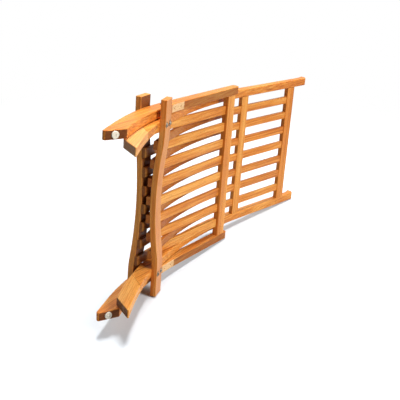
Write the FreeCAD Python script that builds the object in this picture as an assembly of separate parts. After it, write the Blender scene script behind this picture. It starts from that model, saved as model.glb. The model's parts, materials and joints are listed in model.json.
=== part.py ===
import FreeCAD, Part
import math
import os
from FreeCAD import Placement, Rotation, Vector

# Folding slatted garden chair, folded flat and standing on its side.
# Lengths are millimetres and angles are degrees.
# The working frame has its origin on the pivot line, halfway between the two sides:
# x runs up the back, y from the sitting side of the back to its rear, z from side to side.
# The last step leans the whole chair onto the three corners that it stands on.

# Widths from side to side
WIDTH_OVER_SEAT_RAILS = 531.0
RAIL_THICKNESS = 26.0
GAP_BETWEEN_FRAMES = 3.0
BOARD_OVERHANG = 33.0

# The fold, seen from the side
OPENING_ANGLE = 96.0
PIVOT_HEIGHT = 201.0
SEAT_UPRIGHT_ANGLE = 75.5

# Seat rail: each edge is an upper straight, a long bend and a leg straight down to the floor
SEAT_FRONT_X = 397.0
SEAT_UNDERSIDE_FRONT_Y = 49.9
SEAT_UNDERSIDE_ANGLE = 9.3
SEAT_UNDERSIDE_BEND = 970.0
REAR_LEG_UNDERSIDE_ANGLE = 31.6
REAR_LEG_UNDERSIDE_LENGTH = 12.0
SEAT_SITTING_FRONT_Y = 76.2
SEAT_SITTING_ANGLE = 7.9
SEAT_SITTING_BEND = 800.0
REAR_LEG_SITTING_ANGLE = 28.4
REAR_LEG_SITTING_LENGTH = 114.6
SEAT_RAIL_NOSE = 9.0

# Back rail: the same kind of outline, with an ear at the top end
BACK_TOP_X = 857.0
BACK_SITTING_TOP_Y = 104.6
BACK_SITTING_ANGLE = 1.5
BACK_SITTING_BEND = 1329.0
FRONT_LEG_SITTING_ANGLE = 36.5
FRONT_LEG_SITTING_LENGTH = 62.7
BACK_REAR_TOP_Y = 126.3
BACK_REAR_ANGLE = 0.7
BACK_REAR_BEND = 1330.0
FRONT_LEG_REAR_ANGLE = 34.0
FRONT_LEG_REAR_LENGTH = 29.8
EAR_LENGTH = 30.0
EAR_HEIGHT = 9.0
EAR_ROUNDING = 5.0
BACK_RAIL_NOSE = 20.0
LEG_JOINT_REAR_X = -131.0
LEG_JOINT_SITTING_X = -162.0
LEG_JOINT_NIB = 6.0

# Rounding of the wood's edges and corners
RAIL_EDGE_ROUNDING = 2.5
BAR_EDGE_ROUNDING = 2.0
SLAT_EDGE_ROUNDING = 1.5
FOOT_CORNER_ROUNDING = 3.0
REAR_FOOT_TIP_ROUNDING = 7.0

# Straight bars between the rails
SEAT_FRONT_BAR_X = 357.0
SEAT_FRONT_BAR_WIDTH = 41.0
SEAT_FRONT_BAR_THICKNESS = 20.0
BACK_TOP_BAR_X = 759.0
BACK_TOP_BAR_WIDTH = 40.0
BACK_TOP_BAR_THICKNESS = 16.0
BACK_MIDDLE_BAR_X = 491.5
BACK_MIDDLE_BAR_WIDTH = 34.0
BACK_MIDDLE_BAR_THICKNESS = 16.0
BAR_TENON_LENGTH = 14.0
BAR_TENON_SHOULDER = 3.0

# Dished boards across both rails
HOUSING_DEPTH = 1.0
BOARD_FLAT_MARGIN = 2.0
BOARD_TRANSITION_RADIUS = 350.0
LOWER_BAR_X = -42.5
LOWER_BAR_WIDTH = 48.0
LOWER_BAR_THICKNESS = 18.0
LOWER_BAR_DISH = 15.0
REAR_BAR_X = -64.0
REAR_BAR_WIDTH = 50.0
REAR_BAR_THICKNESS = 19.0
REAR_BAR_DISH = 17.0

# Slats
SLAT_SIDE_GAP = 2.0
SEAT_SLAT_COUNT = 8
SEAT_SLAT_WIDTH = 28.0
SEAT_SLAT_THICKNESS = 10.0
SEAT_SLAT_INSET = 8.0
SEAT_SLAT_BEND_AHEAD = 60.0
BACK_SLAT_COUNT = 7
BACK_SLAT_WIDTH = 25.0
BACK_SLAT_THICKNESS = 11.5
BACK_SLAT_INSET = 2.5
SLAT_TENON_LENGTH = 12.0
SLAT_TENON_SHOULDER = 2.0

# Slat screws, countersunk
SLAT_SCREW_HEAD_DIAMETER = 7.6
SLAT_SCREW_SHANK_DIAMETER = 3.6
SLAT_SCREW_LENGTH = 24.0
SLAT_SCREW_RECESS = 0.4

# Board screws
REAR_BAR_SCREW_HEAD_DIAMETER = 10.0
REAR_BAR_SCREW_SHANK_DIAMETER = 5.0
REAR_BAR_SCREW_LENGTH = 45.0
REAR_BAR_SCREW_RECESS = 0.6
REAR_BAR_SCREW_SPACING = 28.0
LOWER_BAR_SCREW_HEAD_DIAMETER = 9.0
LOWER_BAR_SCREW_HEAD_HEIGHT = 3.2
LOWER_BAR_SCREW_SHANK_DIAMETER = 5.0
LOWER_BAR_SCREW_LENGTH = 44.0
LOWER_BAR_SCREW_SPACING = 27.0
LOWER_BAR_SCREW_OUTWARD = 3.5  # from the middle of the rail
WASHER_DIAMETER = 13.0
WASHER_THICKNESS = 1.2
DRIVE_SLOT_WIDTH = 1.2
DRIVE_SLOT_DEPTH = 1.2
DRIVE_SLOT_SPAN = 0.6  # of the head's diameter
SCREW_HOLE_CLEARANCE = 0.08

# Pivot
PIVOT_BOLT_DIAMETER = 8.0
PIVOT_HEAD_DIAMETER = 18.0
PIVOT_HEAD_HEIGHT = 4.0
PIVOT_HEX_SOCKET = 5.0
PIVOT_HEX_DEPTH = 2.5
PIVOT_BUSH_WALL = 1.5
PIVOT_RUNNING_CLEARANCE = 0.05
PIVOT_WASHER_DIAMETER = 22.0
PIVOT_SIDE_CLEARANCE = 0.1
PIVOT_INNER_WASHER_THICKNESS = 1.5
PIVOT_NUT_ACROSS_FLATS = 13.0
PIVOT_NUT_HEIGHT = 6.5
PIVOT_BOLT_END = 1.5

# Rear feet
GLIDE_DIAMETER = 20.5
GLIDE_OFFSET = 4.0  # from the middle of the foot towards the underside
GLIDE_HEIGHT = 4.0
GLIDE_EDGE_ROUNDING = 1.5
GLIDE_NAIL_HEAD_DIAMETER = 6.0
GLIDE_NAIL_HEAD_HEIGHT = 1.0
GLIDE_NAIL_RECESS = 1.5
GLIDE_NAIL_DIAMETER = 2.6
GLIDE_NAIL_LENGTH = 22.0

# Two blind holes in the underside of each seat rail
STOP_HOLE_X = 36.0
STOP_HOLE_SPACING = 34.0
STOP_HOLE_DIAMETER = 4.0
STOP_HOLE_DEPTH = 5.0

FLATNESS = 0.01
Z_AXIS = Vector(0, 0, 1)
SIDES = {"right": 1, "left": -1}

seat_rail_outer_z = WIDTH_OVER_SEAT_RAILS / 2
seat_rail_inner_z = seat_rail_outer_z - RAIL_THICKNESS
back_rail_outer_z = seat_rail_inner_z - GAP_BETWEEN_FRAMES
back_rail_inner_z = back_rail_outer_z - RAIL_THICKNESS
board_end_z = seat_rail_outer_z + BOARD_OVERHANG
outer_slat_z = back_rail_inner_z - SLAT_SIDE_GAP - SEAT_SLAT_WIDTH / 2
slat_pitch = 2 * outer_slat_z / (SEAT_SLAT_COUNT - 1)


# Plane geometry of the side view

def heading(angle):
    """Unit vector in the side view."""
    return Vector(math.cos(math.radians(angle)), math.sin(math.radians(angle)), 0)


def crossing(point_a, angle_a, point_b, angle_b):
    """Where two straights cross, each given by a point and a direction."""
    along = heading(angle_a)
    across = heading(angle_b + 90)
    step = (point_b - point_a).dot(across) / along.dot(across)
    return point_a + along * step


def corner_length(radius, turn):
    """Distance from a corner to where its rounding starts, for a turn in degrees."""
    return radius * math.tan(math.radians(abs(turn) / 2))


class Edge:
    """One long edge of a rail: an upper straight, a bend, and a leg straight down to the floor."""

    def __init__(self, upper_point, upper_angle, radius, leg_angle, leg_length, foot):
        self.upper_point = upper_point
        self.upper_angle = upper_angle
        self.radius = radius
        below_corner = leg_length + corner_length(radius, leg_angle - upper_angle)
        leg = heading(leg_angle) * below_corner
        self.foot = crossing(upper_point - leg, upper_angle, foot.level, foot.angle)
        self.corner = self.foot + leg
        half_turn = math.radians((leg_angle - upper_angle) / 2)
        inward = heading((leg_angle + upper_angle) / 2 - 90)
        self.centre = self.corner + inward * (radius / math.cos(half_turn))

    def station(self, x):
        """Point on the bend at this x, and the direction of the edge there."""
        angle = math.degrees(math.asin((self.centre.x - x) / self.radius))
        return self.centre + heading(angle + 90) * self.radius, angle

    def on_upper(self, x):
        """Point on the upper straight at this x."""
        return crossing(self.upper_point, self.upper_angle, Vector(x, 0, 0), 90)


def line_normals(start, corner, end):
    first = (corner - start).normalize()
    second = (end - corner).normalize()
    return Vector(-first.y, first.x, 0), Vector(-second.y, second.x, 0)


def beside(start, corner, end, distance):
    """The same bent path, moved to its left by the distance."""
    normal_a, normal_b = line_normals(start, corner, end)
    middle = (normal_a + normal_b) * (distance / (1 + normal_a.dot(normal_b)))
    return start + normal_a * distance, corner + middle, end + normal_b * distance


def rounded_wire(points):
    """Closed wire through (point, radius) pairs, each corner rounded by its radius."""
    count = len(points)
    edges = []
    ends = []
    for index in range(count):
        here, radius = points[index]
        before = points[index - 1][0]
        after = points[(index + 1) % count][0]
        arriving = (here - before).normalize()
        leaving = (after - here).normalize()
        turn = math.degrees(arriving.getAngle(leaving))
        if radius == 0 or turn < 0.01:
            ends.append((here, here, None))
            continue
        length = corner_length(radius, turn)
        start = here - arriving * length
        end = here + leaving * length
        towards = (leaving - arriving).normalize()
        sagitta = radius / math.cos(math.radians(turn / 2)) - radius
        ends.append((start, end, here + towards * sagitta))
    for index in range(count):
        start, end, middle = ends[index]
        if middle is not None:
            edges.append(Part.Arc(start, middle, end).toShape())
        following = ends[(index + 1) % count][0]
        if (following - end).Length > 1e-6:
            edges.append(Part.LineSegment(end, following).toShape())
    return Part.Wire(edges)


def slab(points, z_low, z_high):
    """Solid between two heights, with a rounded outline in the side view."""
    face = Part.Face(rounded_wire(points))
    face.translate(Z_AXIS * z_low)
    return face.extrude(Z_AXIS * (z_high - z_low))


def with_round_edges(solid, rounding, joint=None):
    """The slab with the edges of both its side faces rounded, except those on a glued joint."""
    chosen = [edge for edge in solid.Edges if edge.BoundBox.ZLength < FLATNESS]
    if joint is not None:
        chosen = [edge for edge in chosen
                  if joint.distToShape(Part.Vertex(edge.CenterOfMass))[0] > FLATNESS]
    return solid.makeFillet(rounding, chosen)


def between(side, near_z, far_z):
    """Low and high z of a span given on one side of the chair."""
    return sorted((side * near_z, side * far_z))


# Rail edges and the floor

class FootCut:
    """The level cut under a leg, with the chair open on the floor."""

    def __init__(self, up_angle, height):
        self.up = heading(up_angle)
        self.angle = up_angle - 90
        self.level = self.up * (height - PIVOT_HEIGHT)


rear_foot = FootCut(SEAT_UPRIGHT_ANGLE, GLIDE_HEIGHT)
front_foot = FootCut(SEAT_UPRIGHT_ANGLE - OPENING_ANGLE, 0)

seat_underside = Edge(
    Vector(SEAT_FRONT_X, SEAT_UNDERSIDE_FRONT_Y, 0), SEAT_UNDERSIDE_ANGLE, SEAT_UNDERSIDE_BEND,
    REAR_LEG_UNDERSIDE_ANGLE, REAR_LEG_UNDERSIDE_LENGTH, rear_foot)
seat_sitting = Edge(
    Vector(SEAT_FRONT_X, SEAT_SITTING_FRONT_Y, 0), SEAT_SITTING_ANGLE, SEAT_SITTING_BEND,
    REAR_LEG_SITTING_ANGLE, REAR_LEG_SITTING_LENGTH, rear_foot)
back_sitting = Edge(
    Vector(BACK_TOP_X, BACK_SITTING_TOP_Y, 0), BACK_SITTING_ANGLE, BACK_SITTING_BEND,
    FRONT_LEG_SITTING_ANGLE, FRONT_LEG_SITTING_LENGTH, front_foot)
back_rear = Edge(
    Vector(BACK_TOP_X, BACK_REAR_TOP_Y, 0), BACK_REAR_ANGLE, BACK_REAR_BEND,
    FRONT_LEG_REAR_ANGLE, FRONT_LEG_REAR_LENGTH, front_foot)


def seat_rail(side):
    outline = [
        (seat_underside.upper_point, SEAT_RAIL_NOSE),
        (seat_underside.corner, SEAT_UNDERSIDE_BEND),
        (seat_underside.foot, FOOT_CORNER_ROUNDING),
        (seat_sitting.foot, REAR_FOOT_TIP_ROUNDING),
        (seat_sitting.corner, SEAT_SITTING_BEND),
        (seat_sitting.upper_point, SEAT_RAIL_NOSE),
    ]
    solid = slab(outline, *between(side, seat_rail_inner_z, seat_rail_outer_z))
    return with_round_edges(solid, RAIL_EDGE_ROUNDING)


def back_rail_and_leg(side):
    """Back rail and front leg, parted at the slanting glue line and then rounded."""
    ear_tip = back_rear.upper_point + heading(BACK_REAR_ANGLE + 90) * EAR_HEIGHT
    ear_start = back_rear.on_upper(BACK_TOP_X - EAR_LENGTH)
    outline = [
        (back_sitting.upper_point, BACK_RAIL_NOSE),
        (back_sitting.corner, BACK_SITTING_BEND),
        (back_sitting.foot, FOOT_CORNER_ROUNDING),
        (back_rear.foot, FOOT_CORNER_ROUNDING),
        (back_rear.corner, BACK_REAR_BEND),
        (ear_start, EAR_LENGTH),
        (ear_tip, EAR_ROUNDING),
    ]
    whole = slab(outline, *between(side, back_rail_inner_z, back_rail_outer_z))
    rear_end, rear_angle = back_rear.station(LEG_JOINT_REAR_X)
    sitting_end, sitting_angle = back_sitting.station(LEG_JOINT_SITTING_X)
    rear_nib = heading(rear_angle - 90) * LEG_JOINT_NIB
    sitting_nib = heading(sitting_angle + 90) * LEG_JOINT_NIB
    beyond = heading(FRONT_LEG_REAR_ANGLE) * (-2 * PIVOT_HEIGHT)
    leg_side = slab([(rear_end - rear_nib, 0), (rear_end + rear_nib, 0),
                     (sitting_end + sitting_nib, 0), (sitting_end - sitting_nib, 0),
                     (sitting_end - sitting_nib + beyond, 0), (rear_end - rear_nib + beyond, 0)],
                    -board_end_z, board_end_z)
    joint = leg_side.Shells[0]
    rail = with_round_edges(whole.cut(leg_side), RAIL_EDGE_ROUNDING, joint)
    leg = with_round_edges(whole.common(leg_side), RAIL_EDGE_ROUNDING, joint)
    return rail, leg


# Straight bars

def bar_outline(edge, x, width, thickness, shoulder, rounding):
    """Section of a bar whose face is flush with the upper straight of a rail's edge."""
    along = heading(edge.upper_angle)
    across = heading(edge.upper_angle + 90)
    face = edge.on_upper(x)
    near = face + across * shoulder
    far = face + across * (thickness - shoulder)
    half = along * (width / 2 - shoulder)
    return [(near - half, rounding), (near + half, rounding),
            (far + half, rounding), (far - half, rounding)]


def straight_bar(edge, x, width, thickness, inner_z):
    section = bar_outline(edge, x, width, thickness, 0, BAR_EDGE_ROUNDING)
    body = slab(section, -inner_z, inner_z)
    tenon_section = bar_outline(edge, x, width, thickness, BAR_TENON_SHOULDER, 0)
    reach = inner_z + BAR_TENON_LENGTH
    return body.fuse(slab(tenon_section, -reach, reach)).removeSplitter()


# Dished boards

class Board:
    """A board across both rails, dished in the middle towards the side that it is seated on."""

    def __init__(self, edge, x, width, thickness, dish, body_side, rail_inner_z):
        on_edge, self.angle = edge.station(x)
        self.along = heading(self.angle)
        self.outward = heading(self.angle + 90) * body_side
        self.seat = on_edge - self.outward * HOUSING_DEPTH
        self.width = width
        self.thickness = thickness
        self.depth = dish
        self.flat_z = rail_inner_z - BOARD_FLAT_MARGIN
        span = (self.flat_z ** 2 + dish ** 2) / (2 * dish)
        self.centre_radius = span - BOARD_TRANSITION_RADIUS
        self.join_z = self.flat_z * self.centre_radius / span

    def dish(self, z):
        """How far the seated face has moved at this z."""
        if abs(z) >= self.flat_z:
            return 0
        if abs(z) >= self.join_z:
            run = self.flat_z - abs(z)
            return BOARD_TRANSITION_RADIUS - math.sqrt(BOARD_TRANSITION_RADIUS ** 2 - run ** 2)
        drop = self.centre_radius - math.sqrt(self.centre_radius ** 2 - z ** 2)
        return self.depth - drop

    def point(self, z, depth):
        """Point on the board's start plane, depth counted outwards from the seated face."""
        return self.seat - self.along * (self.width / 2) + self.outward * depth + Z_AXIS * z

    def arc_point(self, centre_z, centre_depth, radius, angle):
        turn = math.radians(angle)
        return self.point(centre_z + radius * math.sin(turn), centre_depth + radius * math.cos(turn))

    def face_curve(self, depth):
        """Edges of one face, from one end to the other, all at one depth of the board."""
        bend = math.degrees(math.asin(self.join_z / self.centre_radius))
        middle_radius = self.centre_radius - depth
        outer_radius = BOARD_TRANSITION_RADIUS + depth
        middle_centre = self.centre_radius - self.depth
        low_end = self.point(-board_end_z, depth)
        low_flat = self.point(-self.flat_z, depth)
        low_join = self.arc_point(0, middle_centre, -middle_radius, bend)
        high_join = self.arc_point(0, middle_centre, -middle_radius, -bend)
        high_flat = self.point(self.flat_z, depth)
        high_end = self.point(board_end_z, depth)
        low_bulge = self.arc_point(-self.flat_z, -BOARD_TRANSITION_RADIUS, outer_radius, bend / 2)
        high_bulge = self.arc_point(self.flat_z, -BOARD_TRANSITION_RADIUS, outer_radius, -bend / 2)
        bottom = self.arc_point(0, middle_centre, -middle_radius, 0)
        return [
            Part.LineSegment(low_end, low_flat).toShape(),
            Part.Arc(low_flat, low_bulge, low_join).toShape(),
            Part.Arc(low_join, bottom, high_join).toShape(),
            Part.Arc(high_join, high_bulge, high_flat).toShape(),
            Part.LineSegment(high_flat, high_end).toShape(),
        ]

    def blank(self):
        """The board before its edges are rounded."""
        edges = self.face_curve(0)
        edges.append(Part.LineSegment(self.point(board_end_z, 0),
                                      self.point(board_end_z, self.thickness)).toShape())
        edges.extend(self.face_curve(self.thickness))
        edges.append(Part.LineSegment(self.point(-board_end_z, self.thickness),
                                      self.point(-board_end_z, 0)).toShape())
        face = Part.Face(Part.Wire(Part.sortEdges(edges)[0]))
        return face.extrude(self.along * self.width)

    def solid(self):
        board = self.blank()
        return board.makeFillet(BAR_EDGE_ROUNDING, board.Edges)

    def housing(self):
        """Square-cut room for the board's ends, from the seated face outwards."""
        half = self.along * (self.width / 2)
        low = self.seat
        high = self.seat + self.outward * self.thickness
        corners = [(low - half, 0), (low + half, 0), (high + half, 0), (high - half, 0)]
        return slab(corners, -board_end_z, board_end_z)


lower_board = Board(back_sitting, LOWER_BAR_X, LOWER_BAR_WIDTH,
                    LOWER_BAR_THICKNESS, LOWER_BAR_DISH, -1, back_rail_inner_z)
rear_board = Board(seat_sitting, REAR_BAR_X, REAR_BAR_WIDTH,
                   REAR_BAR_THICKNESS, REAR_BAR_DISH, 1, seat_rail_inner_z)


# Slats

def slat_solid(front, corner, rear, thickness, width, z, bend_length):
    """A bent slat whose rear stretch lies on a board, with a tenon at its front end."""
    arriving = (corner - front).normalize()
    leaving = (rear - corner).normalize()
    turn = math.degrees(arriving.getAngle(leaving))
    radius = bend_length / math.tan(math.radians(turn / 2))
    inner = beside(front, corner, rear, thickness)
    turning = arriving.cross(leaving).z
    inner_radius = radius - math.copysign(thickness, turning * thickness)
    outline = [(front, 0), (corner, radius), (rear, 0),
               (inner[2], 0), (inner[1], inner_radius), (inner[0], 0)]
    body = slab(outline, z - width / 2, z + width / 2)
    body = with_round_edges(body, SLAT_EDGE_ROUNDING)
    shoulder = beside(front, corner, rear, math.copysign(SLAT_TENON_SHOULDER, thickness))
    cheek = beside(front, corner, rear, thickness - math.copysign(SLAT_TENON_SHOULDER, thickness))
    tip = arriving * -SLAT_TENON_LENGTH
    tenon = slab([(shoulder[0] - tip, 0), (cheek[0] - tip, 0),
                  (cheek[0] + tip, 0), (shoulder[0] + tip, 0)],
                 z - width / 2 + SLAT_TENON_SHOULDER, z + width / 2 - SLAT_TENON_SHOULDER)
    return body.fuse(tenon).removeSplitter()


def seat_slat(z):
    """From the front bar's rear face to the far edge of the rear board, under the board."""
    front_face = seat_underside.on_upper(SEAT_FRONT_BAR_X - SEAT_FRONT_BAR_WIDTH / 2)
    inset = SEAT_SLAT_INSET + SEAT_SLAT_THICKNESS
    front = front_face + heading(SEAT_UNDERSIDE_ANGLE + 90) * inset
    on_board = rear_board.seat - rear_board.outward * rear_board.dish(z)
    rear = on_board - rear_board.along * (rear_board.width / 2)
    corner = on_board + rear_board.along * (rear_board.width / 2 + SEAT_SLAT_BEND_AHEAD)
    slat = slat_solid(front, corner, rear, SEAT_SLAT_THICKNESS, SEAT_SLAT_WIDTH, z,
                      SEAT_SLAT_BEND_AHEAD)
    return slat.cut(rear_board_blank)


def back_slat(z):
    """From the top bar's lower face, through the middle bar, to the far edge of the lower board."""
    top_face = back_sitting.on_upper(BACK_TOP_BAR_X - BACK_TOP_BAR_WIDTH / 2)
    front = top_face + heading(BACK_SITTING_ANGLE + 90) * BACK_SLAT_INSET
    on_board = lower_board.seat - lower_board.outward * lower_board.dish(z)
    rear = on_board - lower_board.along * (lower_board.width / 2)
    corner = crossing(front, BACK_SITTING_ANGLE, on_board, lower_board.angle)
    bend_length = (corner - on_board).Length - lower_board.width / 2
    slat = slat_solid(front, corner, rear, -BACK_SLAT_THICKNESS, BACK_SLAT_WIDTH, z, bend_length)
    return slat.cut(lower_board_blank)


def slat_places(count):
    """Evenly pitched z values about the middle, from the chair's right to its left."""
    return [slat_pitch * ((count - 1) / 2 - index) for index in range(count)]


# Screws

def turned(point, direction):
    """Placement that carries +z to the direction and the origin to the point."""
    return Placement(point, Rotation(Z_AXIS, direction))


def countersunk_screw(head_diameter, shank_diameter, length, clearance=0.0):
    """Screw along -z with its flat head at the origin."""
    head_radius = head_diameter / 2
    shank_radius = shank_diameter / 2 + clearance
    cone_height = head_radius - shank_radius
    cone = Part.makeCone(shank_radius, head_radius, cone_height, Vector(0, 0, -cone_height))
    shank = Part.makeCylinder(shank_radius, length - shank_radius, Vector(0, 0, -length + shank_radius))
    tip = Part.makeCone(0, shank_radius, shank_radius, Vector(0, 0, -length))
    return cone.fuse([shank, tip]).removeSplitter()


def cross_recess(head_diameter):
    arm = head_diameter * DRIVE_SLOT_SPAN
    half = DRIVE_SLOT_WIDTH / 2
    corner = Vector(-arm / 2, -half, -DRIVE_SLOT_DEPTH)
    turned_corner = Vector(-half, -arm / 2, -DRIVE_SLOT_DEPTH)
    first = Part.makeBox(arm, DRIVE_SLOT_WIDTH, 2 * DRIVE_SLOT_DEPTH, corner)
    second = Part.makeBox(DRIVE_SLOT_WIDTH, arm, 2 * DRIVE_SLOT_DEPTH, turned_corner)
    return first.fuse(second)


def driven(screw, head_diameter):
    return screw.cut(cross_recess(head_diameter))


def head_well(head_diameter, depth):
    """The short round well above a sunk head."""
    return Part.makeCylinder(head_diameter / 2, depth + HOUSING_DEPTH, Vector(0, 0, 0))


def placed(shape, placement):
    copy = shape.copy()
    copy.Placement = placement.multiply(copy.Placement)
    return copy


def slat_screw_place(board, thickness, z):
    """On the slat's free face, over the board's centre line, driven into the board."""
    free_face = board.dish(z) + thickness - SLAT_SCREW_RECESS
    point = board.seat - board.outward * free_face + Z_AXIS * z
    return turned(point, board.outward * -1)


def slat_screws(board, thickness, count):
    screw = driven(countersunk_screw(SLAT_SCREW_HEAD_DIAMETER, SLAT_SCREW_SHANK_DIAMETER,
                                     SLAT_SCREW_LENGTH), SLAT_SCREW_HEAD_DIAMETER)
    return [placed(screw, slat_screw_place(board, thickness, z)) for z in slat_places(count)]


def slat_screw_holes(board, thickness, count):
    hole = countersunk_screw(SLAT_SCREW_HEAD_DIAMETER, SLAT_SCREW_SHANK_DIAMETER,
                             SLAT_SCREW_LENGTH, SCREW_HOLE_CLEARANCE)
    hole = hole.fuse(head_well(SLAT_SCREW_HEAD_DIAMETER, SLAT_SCREW_RECESS))
    return [placed(hole, slat_screw_place(board, thickness, z)) for z in slat_places(count)]


def board_screw_places(board, rail_z, spacing, depth):
    """Two places over each rail, side by side across the board's width."""
    places = []
    for side in SIDES.values():
        for step in (-0.5, 0.5):
            point = board.seat + board.outward * depth + board.along * (step * spacing)
            point = point + Z_AXIS * (side * rail_z)
            places.append(turned(point, board.outward))
    return places


def lower_bar_screw(clearance=0.0):
    """Pan-head screw along -z, with the underside of its head at the origin."""
    shank_radius = LOWER_BAR_SCREW_SHANK_DIAMETER / 2 + clearance
    head = Part.makeCylinder(LOWER_BAR_SCREW_HEAD_DIAMETER / 2, LOWER_BAR_SCREW_HEAD_HEIGHT)
    top = [edge for edge in head.Edges if abs(edge.BoundBox.ZMin - LOWER_BAR_SCREW_HEAD_HEIGHT) < FLATNESS]
    head = head.makeFillet(LOWER_BAR_SCREW_HEAD_HEIGHT / 2, top)
    straight = LOWER_BAR_SCREW_LENGTH - shank_radius
    shank = Part.makeCylinder(shank_radius, straight, Vector(0, 0, -straight))
    tip = Part.makeCone(0, shank_radius, shank_radius, Vector(0, 0, -LOWER_BAR_SCREW_LENGTH))
    return head.fuse([shank, tip]).removeSplitter()


def washer(outer_diameter, inner_diameter, thickness):
    ring = Part.makeCylinder(outer_diameter / 2, thickness)
    return ring.cut(Part.makeCylinder(inner_diameter / 2, thickness))


# Pivot

def hexagon(across_flats, height):
    radius = across_flats / math.sqrt(3)
    corners = [Vector(radius, 0, 0)]
    for step in range(1, 7):
        angle = math.radians(60 * step)
        corners.append(Vector(radius * math.cos(angle), radius * math.sin(angle), 0))
    return Part.Face(Part.makePolygon(corners)).extrude(Z_AXIS * height)


def on_side(side, z):
    """Placement on the pivot line at this z, with +z pointing outwards on either side."""
    return turned(Vector(0, 0, side * z), Z_AXIS * side)


def pivot_nut_outer_z():
    return back_rail_inner_z - PIVOT_SIDE_CLEARANCE - PIVOT_INNER_WASHER_THICKNESS


def pivot_bolt(side):
    """Round-headed bolt from outside the seat rail to just past the nut."""
    radius = PIVOT_BOLT_DIAMETER / 2
    nut_inner_z = pivot_nut_outer_z() - PIVOT_NUT_HEIGHT
    length = seat_rail_outer_z - nut_inner_z + PIVOT_BOLT_END
    head = Part.makeCylinder(PIVOT_HEAD_DIAMETER / 2, PIVOT_HEAD_HEIGHT)
    top = [edge for edge in head.Edges if abs(edge.BoundBox.ZMin - PIVOT_HEAD_HEIGHT) < FLATNESS]
    head = head.makeFillet(PIVOT_HEAD_HEIGHT / 2, top)
    shank = Part.makeCylinder(radius, length, Vector(0, 0, -length))
    socket = hexagon(PIVOT_HEX_SOCKET, PIVOT_HEX_DEPTH)
    socket.translate(Z_AXIS * (PIVOT_HEAD_HEIGHT - PIVOT_HEX_DEPTH))
    bolt = head.fuse(shank).removeSplitter().cut(socket)
    return placed(bolt, on_side(side, seat_rail_outer_z))


def pivot_nut(side):
    nut = hexagon(PIVOT_NUT_ACROSS_FLATS, PIVOT_NUT_HEIGHT)
    nut = nut.cut(Part.makeCylinder(PIVOT_BOLT_DIAMETER / 2, PIVOT_NUT_HEIGHT))
    return placed(nut, on_side(side, pivot_nut_outer_z() - PIVOT_NUT_HEIGHT))


def pivot_spacer(side):
    """Washer that keeps the two rails apart."""
    thickness = GAP_BETWEEN_FRAMES - PIVOT_SIDE_CLEARANCE
    ring = washer(PIVOT_WASHER_DIAMETER, PIVOT_BOLT_DIAMETER, thickness)
    return placed(ring, on_side(side, seat_rail_inner_z - thickness))


def pivot_inner_washer(side):
    ring = washer(PIVOT_WASHER_DIAMETER, PIVOT_BOLT_DIAMETER, PIVOT_INNER_WASHER_THICKNESS)
    return placed(ring, on_side(side, pivot_nut_outer_z()))


def pivot_bush(side):
    """Metal tube in the back rail that turns on the bolt."""
    bore = PIVOT_BOLT_DIAMETER + 2 * PIVOT_RUNNING_CLEARANCE
    tube = washer(bore + 2 * PIVOT_BUSH_WALL, bore, RAIL_THICKNESS)
    return placed(tube, on_side(side, back_rail_inner_z))


def round_hole(side, diameter, near_z, far_z):
    drill = Part.makeCylinder(diameter / 2, far_z - near_z)
    return placed(drill, on_side(side, near_z))


# Rear feet

def glide_place(side):
    """On the rear leg's cut end, facing the floor."""
    middle = (seat_underside.foot + seat_sitting.foot) * 0.5
    offset = (seat_underside.foot - middle).normalize() * GLIDE_OFFSET
    middle_z = (seat_rail_inner_z + seat_rail_outer_z) / 2
    return turned(middle + offset + Z_AXIS * (side * middle_z), rear_foot.up * -1)


def glide(side):
    """Round plastic foot with a sunk hole for its nail."""
    disc = Part.makeCylinder(GLIDE_DIAMETER / 2, GLIDE_HEIGHT)
    rim = [edge for edge in disc.Edges if abs(edge.BoundBox.ZMin - GLIDE_HEIGHT) < FLATNESS]
    disc = disc.makeFillet(GLIDE_EDGE_ROUNDING, rim)
    well = Part.makeCylinder(GLIDE_NAIL_HEAD_DIAMETER / 2 + SCREW_HOLE_CLEARANCE, GLIDE_HEIGHT)
    well.translate(Z_AXIS * (GLIDE_HEIGHT - GLIDE_NAIL_RECESS - GLIDE_NAIL_HEAD_HEIGHT))
    hole = Part.makeCylinder(GLIDE_NAIL_DIAMETER / 2 + SCREW_HOLE_CLEARANCE, GLIDE_HEIGHT)
    return placed(disc.cut(well.fuse(hole)), glide_place(side))


def glide_nail(side, clearance=0.0):
    """Nail with its head sunk in the glide and its point in the leg's end grain."""
    head_top = GLIDE_HEIGHT - GLIDE_NAIL_RECESS
    shank_radius = GLIDE_NAIL_DIAMETER / 2 + clearance
    head = Part.makeCylinder(GLIDE_NAIL_HEAD_DIAMETER / 2, GLIDE_NAIL_HEAD_HEIGHT)
    head.translate(Z_AXIS * (head_top - GLIDE_NAIL_HEAD_HEIGHT))
    shank = Part.makeCylinder(shank_radius, GLIDE_NAIL_LENGTH)
    shank.translate(Z_AXIS * (head_top - GLIDE_NAIL_LENGTH))
    point = Part.makeCone(0, shank_radius, 2 * shank_radius)
    point.translate(Z_AXIS * (head_top - GLIDE_NAIL_LENGTH - 2 * shank_radius))
    return placed(head.fuse([shank, point]).removeSplitter(), glide_place(side))


def stop_holes(side):
    """Blind holes in the underside of a seat rail, where the lower board stops the seat."""
    middle_z = (seat_rail_inner_z + seat_rail_outer_z) / 2
    holes = []
    for x in (STOP_HOLE_X, STOP_HOLE_X + STOP_HOLE_SPACING):
        on_edge, angle = seat_underside.station(x)
        inward = heading(angle + 90)
        drill = Part.makeCylinder(STOP_HOLE_DIAMETER / 2, 2 * STOP_HOLE_DEPTH)
        point = on_edge - inward * STOP_HOLE_DEPTH + Z_AXIS * (side * middle_z)
        holes.append(placed(drill, turned(point, inward)))
    return holes


# Assembly

nodes = {}

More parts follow.
